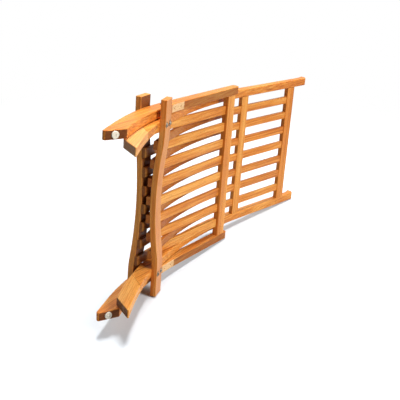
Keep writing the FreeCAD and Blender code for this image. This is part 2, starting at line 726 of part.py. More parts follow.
lower_board_blank = lower_board.blank()
rear_board_blank = rear_board.blank()
lower_board_solid = lower_board.solid()
rear_board_solid = rear_board.solid()
seat_slats = [seat_slat(z) for z in slat_places(SEAT_SLAT_COUNT)]
back_slats = [back_slat(z) for z in slat_places(BACK_SLAT_COUNT)]
seat_front_bar = straight_bar(seat_underside, SEAT_FRONT_BAR_X, SEAT_FRONT_BAR_WIDTH,
                              SEAT_FRONT_BAR_THICKNESS, seat_rail_inner_z)
back_top_bar = straight_bar(back_sitting, BACK_TOP_BAR_X, BACK_TOP_BAR_WIDTH,
                            BACK_TOP_BAR_THICKNESS, back_rail_inner_z)
back_middle_bar = straight_bar(back_sitting, BACK_MIDDLE_BAR_X, BACK_MIDDLE_BAR_WIDTH,
                               BACK_MIDDLE_BAR_THICKNESS, back_rail_inner_z)

seat_screw_holes = slat_screw_holes(rear_board, SEAT_SLAT_THICKNESS, SEAT_SLAT_COUNT)
back_screw_holes = slat_screw_holes(lower_board, BACK_SLAT_THICKNESS, BACK_SLAT_COUNT)

seat_rail_middle_z = (seat_rail_inner_z + seat_rail_outer_z) / 2
back_rail_middle_z = (back_rail_inner_z + back_rail_outer_z) / 2
rear_screw_places = board_screw_places(rear_board, seat_rail_middle_z, REAR_BAR_SCREW_SPACING,
                                       REAR_BAR_THICKNESS - REAR_BAR_SCREW_RECESS)
lower_screw_z = back_rail_middle_z + LOWER_BAR_SCREW_OUTWARD
lower_washer_places = board_screw_places(lower_board, lower_screw_z, LOWER_BAR_SCREW_SPACING,
                                         LOWER_BAR_THICKNESS)
lower_screw_places = board_screw_places(lower_board, lower_screw_z, LOWER_BAR_SCREW_SPACING,
                                        LOWER_BAR_THICKNESS + WASHER_THICKNESS)

rear_screw = driven(countersunk_screw(REAR_BAR_SCREW_HEAD_DIAMETER, REAR_BAR_SCREW_SHANK_DIAMETER,
                                      REAR_BAR_SCREW_LENGTH), REAR_BAR_SCREW_HEAD_DIAMETER)
rear_hole = countersunk_screw(REAR_BAR_SCREW_HEAD_DIAMETER, REAR_BAR_SCREW_SHANK_DIAMETER,
                              REAR_BAR_SCREW_LENGTH, SCREW_HOLE_CLEARANCE)
rear_hole = rear_hole.fuse(head_well(REAR_BAR_SCREW_HEAD_DIAMETER, REAR_BAR_SCREW_RECESS))
rear_screws = [placed(rear_screw, place) for place in rear_screw_places]
rear_screw_holes = [placed(rear_hole, place) for place in rear_screw_places]

slot = cross_recess(LOWER_BAR_SCREW_HEAD_DIAMETER)
slot.translate(Z_AXIS * LOWER_BAR_SCREW_HEAD_HEIGHT)
lower_screws = [placed(lower_bar_screw().cut(slot), place) for place in lower_screw_places]
lower_hole = lower_bar_screw(SCREW_HOLE_CLEARANCE)
lower_screw_holes = [placed(lower_hole, place) for place in lower_screw_places]
lower_ring = washer(WASHER_DIAMETER, LOWER_BAR_SCREW_SHANK_DIAMETER + 2 * SCREW_HOLE_CLEARANCE,
                    WASHER_THICKNESS)
lower_washers = [placed(lower_ring, place) for place in lower_washer_places]

bush_diameter = PIVOT_BOLT_DIAMETER + 2 * (PIVOT_RUNNING_CLEARANCE + PIVOT_BUSH_WALL)

for name, side in SIDES.items():
    cuts = [rear_board.housing(), seat_front_bar, glide_nail(side, SCREW_HOLE_CLEARANCE)]
    cuts.append(round_hole(side, PIVOT_BOLT_DIAMETER, seat_rail_inner_z, seat_rail_outer_z))
    cuts.extend(rear_screw_holes + stop_holes(side))
    nodes["seat_rail_" + name] = seat_rail(side).cut(cuts)

    cuts = [lower_board.housing(), back_top_bar, back_middle_bar]
    cuts.append(round_hole(side, bush_diameter, back_rail_inner_z, back_rail_outer_z))
    cuts.extend(lower_screw_holes)
    rail, leg = back_rail_and_leg(side)
    nodes["back_rail_" + name] = rail.cut(cuts)
    nodes["front_leg_" + name] = leg

    nodes["pivot_bolt_" + name] = pivot_bolt(side)
    nodes["pivot_nut_" + name] = pivot_nut(side)
    nodes["pivot_spacer_" + name] = pivot_spacer(side)
    nodes["pivot_washer_" + name] = pivot_inner_washer(side)
    nodes["pivot_bush_" + name] = pivot_bush(side)
    nodes["rear_glide_" + name] = glide(side)

nodes["seat_front_bar"] = seat_front_bar.cut(seat_slats)
nodes["back_top_bar"] = back_top_bar.cut(back_slats)
nodes["back_middle_bar"] = back_middle_bar.cut(back_slats)
nodes["seat_rear_bar"] = rear_board_solid.cut(seat_screw_holes + rear_screw_holes)
nodes["back_lower_bar"] = lower_board_solid.cut(back_screw_holes + lower_screw_holes)
for number, slat in enumerate(seat_slats, 1):
    nodes["seat_slat_%d" % number] = slat.cut(seat_screw_holes[number - 1])
for number, slat in enumerate(back_slats, 1):
    nodes["back_slat_%d" % number] = slat.cut(back_screw_holes[number - 1])
nodes["seat_slat_screws"] = Part.Compound(
    slat_screws(rear_board, SEAT_SLAT_THICKNESS, SEAT_SLAT_COUNT))
nodes["back_slat_screws"] = Part.Compound(
    slat_screws(lower_board, BACK_SLAT_THICKNESS, BACK_SLAT_COUNT))
nodes["rear_bar_screws"] = Part.Compound(rear_screws)
nodes["lower_bar_screws"] = Part.Compound(lower_screws)
nodes["lower_bar_washers"] = Part.Compound(lower_washers)
nodes["glide_nails"] = Part.Compound([glide_nail(side) for side in SIDES.values()])


# Standing on its side: the plane under two board corners and the top of the lower back rail

def standing_corners():
    lower = lower_board.seat + lower_board.outward * lower_board.thickness
    lower = lower + lower_board.along * (lower_board.width / 2)
    rear = rear_board.seat + rear_board.outward * rear_board.thickness
    rear = rear + rear_board.along * (rear_board.width / 2)
    top = Vector(BACK_TOP_X, back_rear.upper_point.y, -back_rail_outer_z)
    return lower - Z_AXIS * board_end_z, rear - Z_AXIS * board_end_z, top


def standing_placement(shapes):
    """Turn the plane of the three corners level, then centre the whole on the floor."""
    lower, rear, top = standing_corners()
    plane_normal = (top - lower).cross(rear - lower).normalize()
    lean = Placement(Vector(0, 0, 0), Rotation(plane_normal, Z_AXIS))
    whole = Part.Compound(shapes)
    whole.Placement = lean
    box = whole.optimalBoundingBox(False)
    middle = Vector((box.XMin + box.XMax) / 2, (box.YMin + box.YMax) / 2, box.ZMin)
    return Placement(middle * -1, Rotation()).multiply(lean)


stand = standing_placement(list(nodes.values()))
os.makedirs("parts", exist_ok=True)
for node, shape in nodes.items():
    solids = shape.Solids
    whole = solids[0] if len(solids) == 1 else Part.Compound(solids)
    placed(whole, stand).exportStep(os.path.join("parts", node + ".step"))
    print(node, len(solids), round(shape.Volume), shape.isValid())
print("pivot point", stand.multVec(Vector(0, 0, 0)), "pivot axis", stand.Rotation.multVec(Z_AXIS))
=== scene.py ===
import bpy
import bmesh
import json
import math
from mathutils import Matrix, Vector


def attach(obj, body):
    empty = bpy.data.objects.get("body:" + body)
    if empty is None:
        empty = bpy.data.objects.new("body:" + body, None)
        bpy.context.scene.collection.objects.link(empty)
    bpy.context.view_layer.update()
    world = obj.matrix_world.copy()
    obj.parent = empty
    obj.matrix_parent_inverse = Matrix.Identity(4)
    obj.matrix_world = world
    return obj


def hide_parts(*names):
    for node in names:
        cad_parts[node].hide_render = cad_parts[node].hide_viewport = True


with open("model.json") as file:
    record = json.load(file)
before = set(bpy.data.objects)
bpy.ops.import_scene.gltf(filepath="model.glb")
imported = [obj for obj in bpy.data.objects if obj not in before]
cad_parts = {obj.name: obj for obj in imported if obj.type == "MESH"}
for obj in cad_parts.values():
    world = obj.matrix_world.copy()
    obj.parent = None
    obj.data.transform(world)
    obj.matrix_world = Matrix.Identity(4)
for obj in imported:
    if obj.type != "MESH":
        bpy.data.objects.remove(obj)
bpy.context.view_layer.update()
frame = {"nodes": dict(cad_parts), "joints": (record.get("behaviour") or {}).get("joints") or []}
nodes = frame["nodes"]

# The chair's own axes. The whole chair is folded flat and leans on its side, so every size
# below is read along the chair: x runs up the back, y from the sitting side to the rear,
# z from side to side, and the origin is the pivot line halfway between the two sides.

fold = frame["joints"][0]
lean = Vector((0, 0, 1)).rotation_difference(Vector(fold["axis"])).to_matrix()
chair = Matrix.Translation(Vector(fold["pos_m"])) @ lean.to_4x4()
MM = 0.001


def heading(degrees):
    """Unit vector in the chair's side view."""
    return Vector((math.cos(math.radians(degrees)), math.sin(math.radians(degrees)), 0))


# The camera. It looks down at the chair from the feet's end, a little from the seat's
# underside, with a lens of medium length, as the photograph does.

CAMERA_PLACE = Vector((-1589.8, -1556.1, 798.6)) * MM
CAMERA_RIGHT = Vector((0.6758, -0.7334, 0.0735))
CAMERA_DOWN = Vector((-0.2065, -0.2841, -0.9363))
CAMERA_AHEAD = Vector((0.7076, 0.6175, -0.3434))
FOCAL_LENGTH = 72.07
SENSOR_WIDTH = 36.0
SHIFT_X = -0.0015
SHIFT_Y = 0.0004
FARTHEST_SEEN = 50.0


def put_in_scene(name, data):
    """A new object that shows this mesh, camera or lamp."""
    made = bpy.data.objects.new(name, data)
    bpy.context.scene.collection.objects.link(made)
    return made


camera_data = bpy.data.cameras.new("camera")
camera_data.lens = FOCAL_LENGTH
camera_data.sensor_width = SENSOR_WIDTH
camera_data.shift_x = SHIFT_X
camera_data.shift_y = SHIFT_Y
camera_data.clip_end = FARTHEST_SEEN
camera = put_in_scene("camera", camera_data)
camera_turn = Matrix((CAMERA_RIGHT, -CAMERA_DOWN, -CAMERA_AHEAD)).transposed()
camera.matrix_world = chair @ (Matrix.Translation(CAMERA_PLACE) @ camera_turn.to_4x4())
bpy.context.scene.camera = camera


# Seat rails. Each is sawn in one sweep from a straight teak plank, so the grain runs straight
# while the rail bends through it into the rear leg. Sanded, eased along the edges and oiled.
# A pale rubbed patch with two small blind holes lies on the underside just above the pivot.

class Socket:
    """One output in a node tree. Arithmetic on it adds Math nodes."""

    def __init__(self, tree, socket):
        self.tree = tree
        self.socket = socket

    def math(self, operation, *values):
        sockets = dict(enumerate((self,) + values))
        return self.tree.node("ShaderNodeMath", {"operation": operation}, sockets)

    def __add__(self, other):
        return self.math("ADD", other)

    def __radd__(self, other):
        return self.math("ADD", other)

    def __sub__(self, other):
        return self.math("SUBTRACT", other)

    def __rsub__(self, other):
        return (self * -1.0) + other

    def __mul__(self, other):
        return self.math("MULTIPLY", other)

    def __rmul__(self, other):
        return self.math("MULTIPLY", other)

    def __abs__(self):
        return self.math("ABSOLUTE")

    def rising(self, low, high):
        """0 below low, 1 above high, smooth between."""
        return self.tree.node("ShaderNodeMapRange", {"interpolation_type": "SMOOTHSTEP"},
                              {"Value": self, "From Min": low, "From Max": high})

    def falling(self, low, high):
        return 1.0 - self.rising(low, high)


class Tree:
    """A node tree whose nodes are added by one method."""

    def __init__(self, tree):
        self.tree = tree

    def node(self, kind, settings=None, sockets=None, out=0):
        made = self.tree.nodes.new(kind)
        for name, value in (settings or {}).items():
            if name == "stops":
                self.set_stops(made.color_ramp, value)
            else:
                setattr(made, name, value)
        for name, value in (sockets or {}).items():
            if isinstance(value, Socket):
                self.tree.links.new(value.socket, made.inputs[name])
            else:
                made.inputs[name].default_value = value
        return Socket(self, made.outputs[out]) if made.outputs else None

    @staticmethod
    def set_stops(ramp, stops):
        for index, (position, colour) in enumerate(stops):
            if index < len(ramp.elements):
                ramp.elements[index].position = position
            else:
                ramp.elements.new(position)
            ramp.elements[index].color = colour

    def coordinate(self, vector, axis):
        return self.node("ShaderNodeSeparateXYZ", None, {0: vector}, out=axis)

    def dot(self, first, second):
        return self.node("ShaderNodeVectorMath", {"operation": "DOT_PRODUCT"},
                         {0: first, 1: second}, out="Value")

    def noise(self, vector, amounts, detail=2.0, rough=0.5):
        """Noise stretched by three amounts, each in cycles a metre."""
        scaled = self.node("ShaderNodeVectorMath", {"operation": "MULTIPLY"},
                           {0: vector, 1: amounts})
        return self.node("ShaderNodeTexNoise", {"noise_dimensions": "3D"},
                         {"Vector": scaled, "Scale": 1.0, "Detail": detail, "Roughness": rough})

    def blend(self, factor, first, second):
        return self.node("ShaderNodeMix", {"data_type": "RGBA"}, {0: factor, 6: first, 7: second},
                         out=2)

    def multiplied(self, factor, first, second):
        return self.node("ShaderNodeMix", {"data_type": "RGBA", "blend_type": "MULTIPLY"},
                         {0: factor, 6: first, 7: second}, out=2)


def painted(red, green, blue):
    """A colour given as it is seen, from 0 to 255, in the linear numbers of the shader."""
    linear = []
    for value in (red, green, blue):
        share = value / 255
        linear.append(share / 12.92 if share <= 0.04045 else ((share + 0.055) / 1.055) ** 2.4)
    return (*linear, 1.0)


def new_material(name):
    material = bpy.data.materials.new(name)
    material.use_nodes = True
    material.node_tree.nodes.clear()
    return material, Tree(material.node_tree)


def finish_material(tree, colour, roughness, height, relief, metallic=0.0, specular=0.5):
    """Principled shader with a bump of this relief, in metres."""
    bump = tree.node("ShaderNodeBump", None,
                     {"Strength": 1.0, "Distance": relief, "Height": height})
    shader = tree.node("ShaderNodeBsdfPrincipled", None, {
        "Base Color": colour, "Roughness": roughness, "Metallic": metallic,
        "Specular IOR Level": specular, "Normal": bump})
    tree.node("ShaderNodeOutputMaterial", None, {"Surface": shader})


HONEY_LIGHT = (240, 176, 90)
HONEY = (218, 134, 50)
HONEY_DARK = (174, 86, 24)
STREAK_BROWN = (128, 64, 28)
PORE_BROWN = (98, 50, 22)
RED_HEARTWOOD = (236, 196, 178)
END_GRAIN = (92, 44, 24)
END_MOTTLE = (166, 136, 118)
RUBBED_WOOD = (240, 200, 148)
RING_SPACING = 0.0062
WOOD_RELIEF = 0.00016
WOOD_SPECULAR = 0.18


def grain_axes(along):
    """The grain's direction in the frame, and the turn that lays a pattern's x along it."""
    first = (lean @ along).normalized()
    lateral = lean @ Vector((0, 0, 1))
    third = lateral if abs(first.dot(lateral)) < 0.9 else lean @ Vector((0, 1, 0))
    second = third.cross(first).normalized()
    third = first.cross(second)
    return first, Matrix((first, second, third)).to_euler()


def teak(name, along, seed, tone=0.0, red=0.0, cut=None, extra=None, piece=None):
    """Oiled teak with its grain along one direction of the chair.

    A higher tone is lighter, red is the share of a redder heartwood, and cut is the direction
    that a slanting cut across the grain faces. The function extra adds a piece's own marks, and
    piece is the attribute that numbers the strips of one mesh.
    """
    material, tree = new_material(name)
    axis, turn = grain_axes(along)
    coordinates = tree.node("ShaderNodeTexCoord", out="Object")
    normal = tree.node("ShaderNodeTexCoord", out="Normal")
    wood = tree.node("ShaderNodeMapping", {"vector_type": "POINT"},
                     {"Vector": coordinates, "Rotation": turn,
                      "Location": (0.37 * seed, 0.11 * seed, 0.23 * seed)})
    shade = tone
    if piece is not None:
        number = tree.node("ShaderNodeAttribute", {"attribute_name": piece}, out="Fac")
        step = tree.node("ShaderNodeCombineXYZ", None, {"X": number * 0.71, "Y": number * 0.31,
                                                        "Z": number * 0.13})
        wood = tree.node("ShaderNodeVectorMath", {"operation": "ADD"}, {0: wood, 1: step})
        shade = (number * 2.3 + seed).math("SINE") * 0.10 + tone

    # growth layers, as wandering sheets cut at a slant, under streaks, fibres and broad patches
    wander = tree.noise(wood, (2.0, 16.0, 16.0), detail=3.0)
    across = tree.coordinate(wood, "Y")
    depth = tree.coordinate(wood, "Z")
    layer = across * 0.8 + depth * 0.6 + wander * 0.040
    rings = (layer * (2 * math.pi / RING_SPACING)).math("SINE") * 0.5 + 0.5
    uneven = tree.noise(wood, (1.2, 60.0, 60.0))
    streaks = tree.noise(wood, (2.6, 210.0, 210.0), detail=3.0, rough=0.6)
    fibres = tree.noise(wood, (22.0, 1100.0, 1100.0))
    broad = tree.noise(wood, (4.0, 9.0, 9.0))
    value = (streaks - 0.5) * 1.00 + (uneven - 0.5) * 0.45 + (rings - 0.5) * 0.16
    value = value + (fibres - 0.5) * 0.45 + (broad - 0.5) * 0.60 + 0.5 + shade
    colour = tree.node("ShaderNodeValToRGB", {"stops": [
        (0.12, painted(*HONEY_DARK)), (0.50, painted(*HONEY)), (0.88, painted(*HONEY_LIGHT))]},
        {"Fac": value})

    # a few brown mineral streaks, and the open pores as short fine flecks
    mineral = tree.noise(wood, (1.1, 75.0, 75.0), detail=3.0).rising(0.62, 0.74)
    colour = tree.blend(mineral * 0.55, colour, painted(*STREAK_BROWN))
    pores = tree.noise(wood, (75.0, 1900.0, 1900.0), detail=1.0).rising(0.62, 0.72)
    colour = tree.blend(pores * 0.60, colour, painted(*PORE_BROWN))
    colour = tree.multiplied(red, colour, painted(*RED_HEARTWOOD))

    # planed end grain is a little darker; sawn feet drink the oil and go dark
    end = abs(tree.dot(normal, axis)).rising(0.74, 0.93) * 0.18
    if cut is not None:
        end = end.math("MAXIMUM", tree.dot(normal, lean @ cut).rising(0.86, 0.97))
    dots = tree.noise(wood, (40.0, 1400.0, 1400.0))
    mottle = tree.noise(wood, (30.0, 130.0, 130.0))
    dark_end = tree.multiplied((dots * 0.5 + mottle * 0.9).rising(0.45, 0.95),
                               painted(*END_GRAIN), painted(*END_MOTTLE))
    colour = tree.blend(end * 0.85, colour, dark_end)
    roughness = 0.42 + (streaks - 0.5) * 0.22 + pores * 0.10 + end * 0.22
    height = fibres * 0.45 + streaks * 0.30 - pores * 0.70 + dots * end * 0.5
    if extra is not None:
        colour, roughness, height = extra(tree, coordinates, normal, colour, roughness, height)
    finish_material(tree, colour, roughness, height=height, relief=WOOD_RELIEF,
                    specular=WOOD_SPECULAR)
    return material


def along_chair(tree, coordinates):
    """Object coordinates turned and moved onto the chair's own axes, in metres."""
    back = chair.inverted()
    return tree.node("ShaderNodeMapping", {"vector_type": "POINT"},
                     {"Vector": coordinates, "Rotation": back.to_3x3().to_euler(),
                      "Location": back.translation})


SEAT_RAIL_GRAIN = heading(14)
SEAT_RAIL_UNDERSIDE = heading(-80)
REAR_FOOT_CUT = heading(-104.5)


def rubbed_patch_and_shade(tree, coordinates, normal, colour, roughness, height):
    """The pale stretch of a seat rail's underside, on a rail browned towards the front as painted
    shade.
    """
    place = along_chair(tree, coordinates)
    x = tree.coordinate(place, "X")
    # painted shade: the rail goes browner towards the front, standing in for light that falls off
    # along it
    colour = tree.blend(x.rising(-0.02, 0.14) * 0.28, colour, painted(*STREAK_BROWN))
    waver = tree.noise(place, (40.0, 40.0, 160.0)) * 0.010 - 0.005
    band = (x + waver).rising(0.022, 0.026) * (x + waver).falling(0.083, 0.090)
    mask = band * tree.dot(normal, lean @ SEAT_RAIL_UNDERSIDE).rising(0.80, 0.95)
    scuffs = tree.noise(place, (60.0, 300.0, 900.0), detail=3.0)
    rubbed = mask * (scuffs.rising(0.30, 0.60) * 0.6 + 0.4)
    colour = tree.blend(rubbed, colour, painted(*RUBBED_WOOD))
    return colour, roughness + mask * 0.12, height


def set_only_material(piece, material):
    piece.data.materials.clear()
    piece.data.materials.append(material)
    for face in piece.data.polygons:
        face.material_index = 0


set_only_material(nodes["seat_rail_right"],
                  teak("teak_seat_rail_right", SEAT_RAIL_GRAIN, 1.0, tone=-0.04,
                       cut=REAR_FOOT_CUT, extra=rubbed_patch_and_shade))
set_only_material(nodes["seat_rail_left"],
                  teak("teak_seat_rail_left", SEAT_RAIL_GRAIN, 2.0, tone=0.04,
                       cut=REAR_FOOT_CUT, extra=rubbed_patch_and_shade))


# Seat front bar. A straight teak bar, tenoned into both rails, which carries the front ends
# of the slats. Its grain runs from side to side.

LATERAL = Vector((0, 0, 1))
set_only_material(nodes["seat_front_bar"], teak("teak_seat_front_bar", LATERAL, 3.0, tone=0.03))


# Seat rear bar. A thick teak board, sawn to a shallow hollow and let into both rails, on which
# the slats' rear ends lie. Four sunk wood screws hold it to the rails. Its hollowed face lies
# between the two frames and is painted dark brown there as painted shade.

REAR_BOARD_ANGLE = 15.28
# painted shade: the dark brown that stands for the shade between the two frames
PAINTED_SHADE_BROWN = (92, 42, 16)


def painted_shade_face(tree, coordinates, normal, colour, roughness, height):
    """The board's hollowed face, painted dark brown as painted shade between the frames."""
    mask = tree.dot(normal, lean @ heading(REAR_BOARD_ANGLE - 90)).rising(0.60, 0.90)
    return tree.blend(mask * 0.85, colour, painted(*PAINTED_SHADE_BROWN)), roughness, height


set_only_material(nodes["seat_rear_bar"],
                  teak("teak_seat_rear_bar", LATERAL, 4.0, tone=0.32, red=0.30,
                       extra=painted_shade_face))


# Seat slats. Eight teak strips, steamed to a gentle bend near the rear, tenoned into the front
# bar and screwed to the rear board. Each comes from another plank, so its colour is its own.

BOARD_TRANSITION = 350.0
SEAT_SLAT_COUNT = 8
SLAT_PITCH = 55.571
SEAT_SLAT_WIDTH = 28.0
SEAT_SLAT_THICKNESS = 10.0
SEAT_SLAT_BEND = 60.0
SEAT_SLAT_BEND_STEPS = 20
SEAT_SLAT_ANGLE = 9.3
SEAT_SLAT_GRAIN = heading(9)
SEAT_SLAT_FRONT = Vector((333.59, 57.76, 0))
REAR_BOARD_PLACE = Vector((-63.74, 4.58, 0))
REAR_BOARD_WIDTH = 50.0
REAR_BOARD_FLAT = 237.5
REAR_BOARD_DISH = 17.0
SLAT_EDGE_ROUNDING = 1.5
SLAT_EDGE_STEPS = 3
SLAT_CREASE = 15


def hollow(z, flat, dish):
    """How far a board's seated face has sunk at this z: a long arc with a short one each end."""
    span = (flat ** 2 + dish ** 2) / (2 * dish)
    arc = span - BOARD_TRANSITION
    join = flat * arc / span
    if abs(z) >= join:
        run = flat - abs(z)
        return BOARD_TRANSITION - math.sqrt(BOARD_TRANSITION ** 2 - run ** 2)
    return dish - (arc - math.sqrt(arc ** 2 - z ** 2))


def slat_heights(count):
    """The z of each slat, evenly pitched about the middle."""
    return [SLAT_PITCH * ((count - 1) / 2 - number) for number in range(count)]


def slat_lines(name, lines):
    """Each slat's middle line as three corners, with the radius that its bend wants."""
    mesh = bpy.data.meshes.new(name)
    corners = []
    edges = []
    radii = []
    for front, corner, rear, bend in lines:
        turn = (front - corner).angle(corner - rear)
        start = len(corners)
        corners.extend([front * MM, corner * MM, rear * MM])
        edges.extend([(start, start + 1), (start + 1, start + 2)])
        radii.extend([0.0, bend / math.tan(turn / 2) * MM, 0.0])
    mesh.from_pydata(corners, edges, [])
    mesh.attributes.new("bend_radius", "FLOAT", "POINT").data.foreach_set("value", radii)
    return put_in_scene(name, mesh)


def geometry_tree(name, inputs):
    """An empty geometry tree with a geometry input and these named ones."""
    group = bpy.data.node_groups.new(name, "GeometryNodeTree")
    group.interface.new_socket("Geometry", in_out="INPUT", socket_type="NodeSocketGeometry")
    group.interface.new_socket("Geometry", in_out="OUTPUT", socket_type="NodeSocketGeometry")
    for label, kind in inputs.items():
        group.interface.new_socket(label, in_out="INPUT", socket_type="NodeSocket" + kind)
    tree = Tree(group)
    start = group.nodes.new("NodeGroupInput")
    given = {socket.name: Socket(tree, socket) for socket in start.outputs if socket.name}
    return group, tree, given


def made_by(owner, group, values, name, crease):
    """The plain mesh that a geometry tree makes of its owner, carried from the chair's axes.

    Edges sharper than the crease, in degrees, stay sharp.
    """
    modifier = owner.modifiers.new(group.name, "NODES")
    modifier.node_group = group
    for item in group.interface.items_tree:
        if item.in_out == "INPUT" and item.name in values:
            modifier[item.identifier] = values[item.name]
    graph = bpy.context.evaluated_depsgraph_get()
    mesh = bpy.data.meshes.new_from_object(owner.evaluated_get(graph), depsgraph=graph)
    mesh.name = name
    mesh.transform(chair)
    mesh.shade_smooth()
    mesh.set_sharp_from_angle(angle=math.radians(crease))
    owner.modifiers.clear()
    bpy.data.objects.remove(owner)
    return put_in_scene(name, mesh)


slat_tree, tree, given = geometry_tree("bent_slats", {
    "Width": "Float", "Thickness": "Float", "Edge Rounding": "Float", "Bend Steps": "Int",
    "Material": "Material"})
line = tree.node("GeometryNodeMeshToCurve", None, {"Mesh": given["Geometry"]})
bend_radius = tree.node("GeometryNodeInputNamedAttribute", {"data_type": "FLOAT"},
                        {"Name": "bend_radius"})
line = tree.node("GeometryNodeFilletCurve", {"mode": "POLY"},
                 {"Curve": line, "Count": given["Bend Steps"], "Radius": bend_radius})
line = tree.node("GeometryNodeSetCurveNormal", {"mode": "Z_UP"}, {"Curve": line})
number = tree.node("GeometryNodeInputIndex")
line = tree.node("GeometryNodeStoreNamedAttribute", {"data_type": "FLOAT", "domain": "CURVE"},
                 {"Geometry": line, "Name": "slat", "Value": number})
section = tree.node("GeometryNodeCurvePrimitiveQuadrilateral", None,
                    {"Width": given["Thickness"], "Height": given["Width"]})
section = tree.node("GeometryNodeFilletCurve", {"mode": "POLY"},
                    {"Curve": section, "Count": SLAT_EDGE_STEPS,
                     "Radius": given["Edge Rounding"]})
solid = tree.node("GeometryNodeCurveToMesh", None,
                  {"Curve": line, "Profile Curve": section, "Fill Caps": True})
solid = tree.node("GeometryNodeRealizeInstances", None, {"Geometry": solid})
solid = tree.node("GeometryNodeSetMaterial", None,
                  {"Geometry": solid, "Material": given["Material"]})
tree.node("NodeGroupOutput", None, {"Geometry": solid})


def seat_slat_line(z):
    """From the front bar's rear face down to the far edge of the rear board."""
    along = heading(REAR_BOARD_ANGLE)
    outward = heading(REAR_BOARD_ANGLE + 90)
    on_board = REAR_BOARD_PLACE - outward * (hollow(z, REAR_BOARD_FLAT, REAR_BOARD_DISH)
                                             + SEAT_SLAT_THICKNESS / 2)
    middle = heading(SEAT_SLAT_ANGLE - 90) * (SEAT_SLAT_THICKNESS / 2)
    lift = Vector((0, 0, z))
    return (SEAT_SLAT_FRONT + middle + lift,
            on_board + along * (REAR_BOARD_WIDTH / 2 + SEAT_SLAT_BEND) + lift,
            on_board - along * (REAR_BOARD_WIDTH / 2) + lift, SEAT_SLAT_BEND)


def painted_shade_ends(tree, coordinates, normal, colour, roughness, height):
    """The slats' rear ends, between the frames on the board, painted dark brown as painted shade.
    """
    mask = tree.coordinate(along_chair(tree, coordinates), "X").falling(-0.040, -0.005)
    return tree.blend(mask * 0.70, colour, painted(*PAINTED_SHADE_BROWN)), roughness, height


seat_slat_teak = teak("teak_seat_slats", SEAT_SLAT_GRAIN, 5.0, tone=0.10,
                      extra=painted_shade_ends, piece="slat")
seat_slats = made_by(
    slat_lines("seat_slat_lines", [seat_slat_line(z) for z in slat_heights(SEAT_SLAT_COUNT)]),
    slat_tree, {"Width": SEAT_SLAT_WIDTH * MM, "Thickness": SEAT_SLAT_THICKNESS * MM,
                "Edge Rounding": SLAT_EDGE_ROUNDING * MM, "Bend Steps": SEAT_SLAT_BEND_STEPS,
                "Material": seat_slat_teak},
    "seat_slats", SLAT_CREASE)
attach(seat_slats, "seat_frame")
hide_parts(*["seat_slat_%d" % (number + 1) for number in range(SEAT_SLAT_COUNT)])


# Seat slat screws. Small blackened steel wood screws, their flat heads sunk just below the
# face of each slat where it lies on the rear board. Rust has crept over them in patches.

SLAT_SCREW_HEAD = 7.6
SLAT_SCREW_SHANK = 3.6
SLAT_SCREW_LENGTH = 24.0
SLAT_SCREW_RECESS = 0.4
SLAT_SCREW_RIM = 0.15
DRIVE_SPAN = 0.6
DRIVE_SLOT = 1.2
SCREW_STEPS = 32
FASTENER_CREASE = 35
BLACKENED_STEEL = (58, 50, 46)
DARK_RUST = (96, 58, 34)


def turned_mesh(name, section, steps, ring=False):
    """Closed mesh turned about z from a half section of (radius, height) in millimetres.

    A ring's section closes on itself; another starts and ends on the axis.
    """
    form = bmesh.new()
    rows = []
    for radius, height in section:
        if radius == 0:
            rows.append([form.verts.new((0, 0, height * MM))] * steps)
            continue
        row = []
        for step in range(steps):
            angle = 2 * math.pi * step / steps
            row.append(form.verts.new((radius * math.cos(angle) * MM,
                                       radius * math.sin(angle) * MM, height * MM)))
        rows.append(row)
    for row, following in zip(rows, rows[1:] + rows[:1] if ring else rows[1:]):
        for step in range(steps):
            after = (step + 1) % steps
            corners = [row[step], row[after], following[after], following[step]]
            form.faces.new(list(dict.fromkeys(corners)))
    bmesh.ops.recalc_face_normals(form, faces=form.faces)
    mesh = bpy.data.meshes.new(name)
    form.to_mesh(mesh)
    form.free()
    return mesh


def cross_cut(mesh, span, floor, top):
    """The turned mesh with a cross-shaped recess from its top down to the floor."""
    blank = put_in_scene("blank", mesh)
    cutters = []
    middle = Matrix.Translation(Vector((0, 0, (top + floor) / 2)) * MM)
    for wide, deep in ((span, DRIVE_SLOT), (DRIVE_SLOT, span)):
        size = Vector((wide, deep, top - floor)) * MM
        form = bmesh.new()
        bmesh.ops.create_cube(form, size=1.0, matrix=middle @ Matrix.Diagonal((*size, 1.0)))
        cutter_mesh = bpy.data.meshes.new("cutter")
        form.to_mesh(cutter_mesh)
        form.free()
        cutter = put_in_scene("cutter", cutter_mesh)
        cutters.append(cutter)
        cut = blank.modifiers.new("recess", "BOOLEAN")
        cut.operation = "DIFFERENCE"
        cut.object = cutter
    graph = bpy.context.evaluated_depsgraph_get()
    result = bpy.data.meshes.new_from_object(blank.evaluated_get(graph), depsgraph=graph)
    for spent in cutters + [blank]:
        bpy.data.objects.remove(spent)
    return result


def sunk_screw(name, head, shank, length, rim):
    """Flat-headed wood screw for the tree to repeat, its face at the origin and facing up."""
    radius = head / 2
    inner = shank / 2
    mesh = turned_mesh(name, [
        (0, 0), (radius - rim, 0), (radius, -rim), (inner, inner - radius),
        (inner, inner - length), (0, -length)], SCREW_STEPS)
    return put_in_scene(name, cross_cut(mesh, head * DRIVE_SPAN, -DRIVE_SLOT, DRIVE_SLOT))


def fastener_points(name, places):
    """A point for each fastener, with the direction that its head faces."""
    mesh = bpy.data.meshes.new(name)
    mesh.from_pydata([point * MM for point, _ in places], [], [])
    facing = [number for _, direction in places for number in direction]
    mesh.attributes.new("facing", "FLOAT_VECTOR", "POINT").data.foreach_set("vector", facing)
    return put_in_scene(name, mesh)


